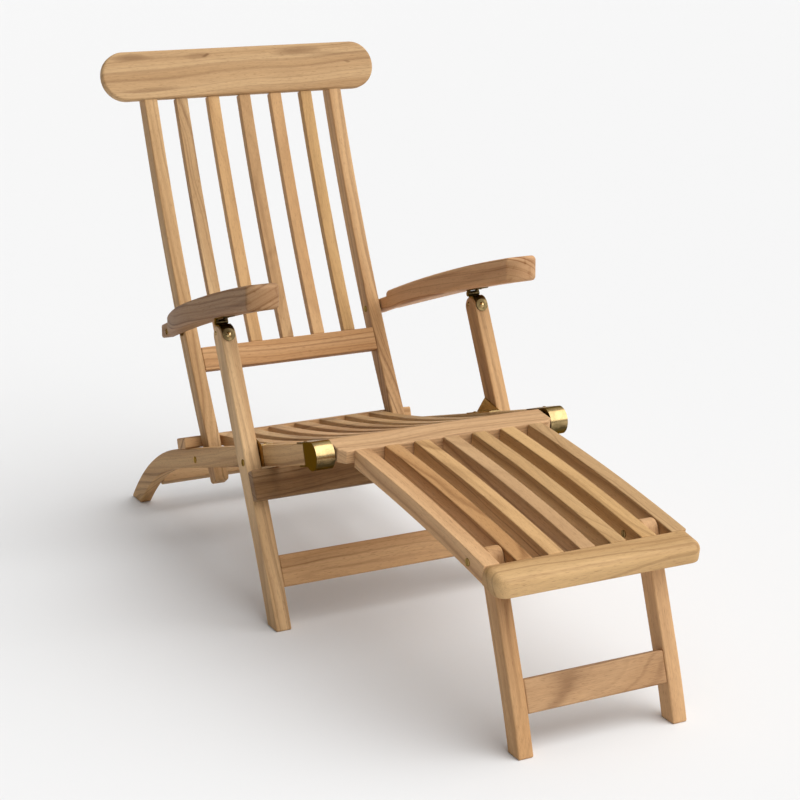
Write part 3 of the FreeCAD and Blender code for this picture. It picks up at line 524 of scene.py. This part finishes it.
def dish(reach, rise, sides):
    """Points and polygons round the origin: a flat fan, then a ring at each reach and rise."""
    angle = np.linspace(0, FULL_TURN, sides, endpoint=False)[:, None]
    spokes = np.stack([np.cos(angle) * reach, np.sin(angle) * reach,
                       np.tile(rise, (sides, 1))], -1)
    here, beside = round_net(sides, len(reach), 1)
    polygons = fan(0, here[:, 0], beside[:, 0]) + bands(here, beside)
    return np.vstack([np.zeros((1, 3)), spokes.reshape(-1, 3)]), polygons


class DECKCHAIR_OT_timber(bpy.types.Operator):
    """Gives every wooden piece its own board of teak"""

    bl_idname = "deck_chair.timber"
    bl_label = "Finish the timber"

    def execute(self, context):
        for number, name in enumerate(nodes_of("teak")):
            slope = matching(SLOPES, name, None)
            turn = (0.0,) * 3 if slope is None else (-math.radians(slope), 0.0, -QUARTER)
            # Some boards' tones hold painted shade and light, such as the front apron darkened for
            # the shade under the seat.
            tone = spread(number, 0.618, 0.93, 0.16) * matching(TONES_AND_PAINTED_LIGHT, name, 1.0)
            figure = matching(FIGURES, name, spread(number, 0.377, 0.7, 0.6))
            cast = matching(CASTS, name, spread(number, 0.271, 0.0, 0.2))
            finish_node(name, teak("teak_" + name, turn, number + 11, tone, figure, cast,
                                   matching(PAINTED_FRONT_LIGHT, name, 0.0), matching(MARKS, name, ())))
        return {"FINISHED"}


class DECKCHAIR_OT_fittings(bpy.types.Operator):
    """Gives the brass fittings their finish"""

    bl_idname = "deck_chair.fittings"
    bl_label = "Finish the brass fittings"

    def execute(self, context):
        for number, name in enumerate(nodes_of("brass")):
            finish_node(name, brass("brass_" + name, number, matching(AGES_AND_PAINTED_REFLECTION, name, AGE),
                                    matching(PAINTED_REFLECTION_AWAY, name, 0.0)))
        return {"FINISHED"}


class DECKCHAIR_OT_leg_pins(bpy.types.Operator):
    """Adds the heads of the brass pins in the sides of the front legs"""

    bl_idname = "deck_chair.leg_pins"
    bl_label = "Add the leg pins"

    def execute(self, context):
        metal = context.scene.deck_chair_brass
        points, polygons = [], []
        for side in (-1, 1):
            for x, out in LEG_FACES:
                head, found = dome((side * x, *PIN_PLACE, side * out), metal.pin_radius,
                                   metal.pin_height, len(points))
                points += head
                polygons += found
        piece = add_piece("leg_side_pins", points, polygons)
        piece.data.set_sharp_from_angle(angle=math.radians(50))
        piece.data.materials.append(brass("brass_leg_side_pins", PIN_SEED, PIN_AGE))
        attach(piece, "front_legs")
        return {"FINISHED"}


class DECKCHAIR_OT_studio(bpy.types.Operator):
    """Adds the floor, the soft lights and the camera"""

    bl_idname = "deck_chair.studio"
    bl_label = "Set up the studio"

    def execute(self, context):
        studio = context.scene.deck_chair_studio
        self.add_floor(studio)
        self.add_lights(context.scene, studio)
        self.add_camera(context.scene, studio)
        context.scene.view_settings.view_transform = "Standard"
        return {"FINISHED"}

    def add_floor(self, studio):
        """A round floor that turns up all round into a low wall, along one quarter circle."""
        turn = np.linspace(0, QUARTER, FLOOR_STEPS)
        reach = np.append(FLOOR_FLAT + FLOOR_BEND * np.sin(turn), FLOOR_FLAT + FLOOR_BEND)
        rise = np.append(FLOOR_BEND * (1 - np.cos(turn)), FLOOR_WALL)
        piece = add_piece("floor", *dish(reach, rise, FLOOR_SIDES))
        tree = Finish("floor")
        tree.set("Base Color", colour(studio.floor))
        tree.set("Roughness", 0.95)
        tree.set("Specular IOR Level", 0.0)
        piece.data.materials.append(tree.material)

    def add_lights(self, scene, studio):
        """One large soft light from the front right, and a sky darker on the shaded side."""
        light = bpy.data.lights.new("key", "SUN")
        light.energy = studio.key_strength
        light.angle = studio.key_softness
        lamp = add_object("key", light)
        lamp.rotation_euler = Vector(studio.key_from).to_track_quat("Z", "Y").to_euler()
        scene.world = bpy.data.worlds.new("studio")
        scene.world.use_nodes = True
        tree = ShaderTree(scene.world.node_tree)
        x, y, z = tree.parts(tree.node("ShaderNodeTexCoord", output="Generated"))
        bright = tree.span(x * 0.50 + z * 0.80 - y * 0.35, 0.12, 0.88)
        sky = tree.nodes["Background"].inputs
        tree.give(sky["Color"], tree.mix(bright, colour(studio.sky_dark), colour(studio.sky_light)))
        tree.give(sky["Strength"], studio.sky_strength)

    def add_camera(self, scene, studio):
        """A camera at its distance back from the target, stepped aside and turned by the roll."""
        around, above, roll = studio.azimuth, studio.elevation, studio.roll
        right = np.array((math.cos(around), math.sin(around), 0.0))
        back = np.array((math.sin(around) * math.cos(above), -math.cos(around) * math.cos(above),
                         math.sin(above)))
        up = np.cross(back, right)
        side = math.cos(roll) * right + math.sin(roll) * up
        rise = -math.sin(roll) * right + math.cos(roll) * up
        where = (np.array(studio.target) + back * studio.distance + side * studio.offset[0]
                 + rise * studio.offset[1])
        lens = bpy.data.cameras.new("camera")
        lens.sensor_width = SENSOR
        lens.lens = SENSOR * studio.focal_pixels / FRAME_WIDTH
        lens.shift_y = studio.lift
        lens.clip_end = VIEW_END
        camera = add_object("camera", lens)
        matrix = np.eye(4)
        matrix[:3] = np.stack([side, rise, back, where], 1)
        camera.matrix_world = Matrix(matrix.tolist())
        scene.camera = camera


class DECKCHAIR_PT_panel(bpy.types.Panel):
    """Settings and steps of the deck chair"""

    bl_idname = "DECKCHAIR_PT_panel"
    bl_label = "Deck Chair"
    bl_space_type = "VIEW_3D"
    bl_region_type = "UI"
    bl_category = "Deck Chair"

    def draw(self, context):
        for group in (getattr(context.scene, name) for name in GROUPS):
            for name in group.bl_rna.properties.keys():
                if name not in ("rna_type", "name"):
                    self.layout.prop(group, name)
        for step in STEPS:
            self.layout.operator(step.bl_idname)


STEPS = (DECKCHAIR_OT_timber, DECKCHAIR_OT_fittings, DECKCHAIR_OT_leg_pins, DECKCHAIR_OT_studio)
GROUPS = {
    "deck_chair_teak": TeakSettings,
    "deck_chair_brass": BrassSettings,
    "deck_chair_studio": StudioSettings,
}


def register():
    for name, group in GROUPS.items():
        bpy.utils.register_class(group)
        setattr(bpy.types.Scene, name, bpy.props.PointerProperty(type=group))
    for made in (*STEPS, DECKCHAIR_PT_panel):
        bpy.utils.register_class(made)


def unregister():
    for made in (DECKCHAIR_PT_panel, *reversed(STEPS)):
        bpy.utils.unregister_class(made)
    for name, group in GROUPS.items():
        delattr(bpy.types.Scene, name)
        bpy.utils.unregister_class(group)


def main():
    register()
    bpy.ops.deck_chair.timber()
    bpy.ops.deck_chair.fittings()
    bpy.ops.deck_chair.leg_pins()
    bpy.ops.deck_chair.studio()


if __name__ == "__main__":
    main()
